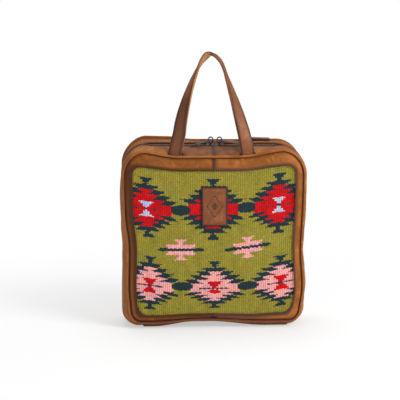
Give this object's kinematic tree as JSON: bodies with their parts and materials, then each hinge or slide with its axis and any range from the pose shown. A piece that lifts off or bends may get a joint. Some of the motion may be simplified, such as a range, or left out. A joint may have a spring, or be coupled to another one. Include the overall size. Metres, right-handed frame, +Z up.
{
  "type": "toiletry bag",
  "caption": "Soft square toiletry bag in tan leather: woven front window in a piped frame, zip round the gusset with paired sliders and long pulls, tall strap handle.",
  "frame": {"origin": "on the surface that the bag stands on, under the middle of its overall width and depth", "axes": "+Z up, -Y towards the front with the woven window, +X to the right of someone looking at the front"},
  "size_m": [0.2542, 0.0821, 0.3748],
  "materials": {
    "leather": "tan, burnished at the seams",
    "leather_dark": "darker burnished tan",
    "cloth": "matte ribbed wool flatweave",
    "lining": "matte woven lining",
    "tape": "matte dark brown zip tape",
    "teeth": "dark antiqued metal teeth",
    "steel": "gunmetal"
  },
  "bodies": {
    "bag": {"front_frame_left": "leather", "front_frame_right": "leather", "front_piping": "leather", "rear_piping": "leather", "gusset_front_left": "leather", "gusset_front_right": "leather", "gusset_rear_left": "leather", "gusset_rear_right": "leather", "gusset_base": "leather", "rear_panel": "leather", "front_patch": "leather_dark", "handle": "leather_dark", "rear_tab": "leather_dark", "woven_panel": "cloth", "gusset_lining_front": "lining", "gusset_lining_rear": "lining", "base_lining": "lining", "front_lining": "lining", "rear_lining": "lining", "zip_tape_front": "tape", "zip_tape_rear": "tape", "zip_teeth_front": "teeth", "zip_teeth_rear": "teeth"},
    "slider_left": {"slider_left": "steel"},
    "slider_right": {"slider_right": "steel"},
    "puller_left": {"puller_left": "steel"},
    "puller_right": {"puller_right": "steel"}
  },
  "joints": [
    {"name": "slide_left", "type": "slide", "parent": "bag", "child": "slider_left", "axis": [-0.9999, 0, 0.01], "range_m": [0, 0.072]},
    {"name": "slide_right", "type": "slide", "parent": "bag", "child": "slider_right", "axis": [0.9999, 0, -0.01], "range_m": [0, 0.072]},
    {"name": "swing_left", "type": "hinge", "parent": "slider_left", "child": "puller_left", "pos_m": [-0.00292, -0.00161, 0.25412], "axis": [-0.342, 0.9397, 0], "range_deg": [0, 105]},
    {"name": "swing_right", "type": "hinge", "parent": "slider_right", "child": "puller_right", "pos_m": [0.00908, -0.00161, 0.254], "axis": [-0.1736, -0.9848, 0], "range_deg": [0, 105]}
  ]
}
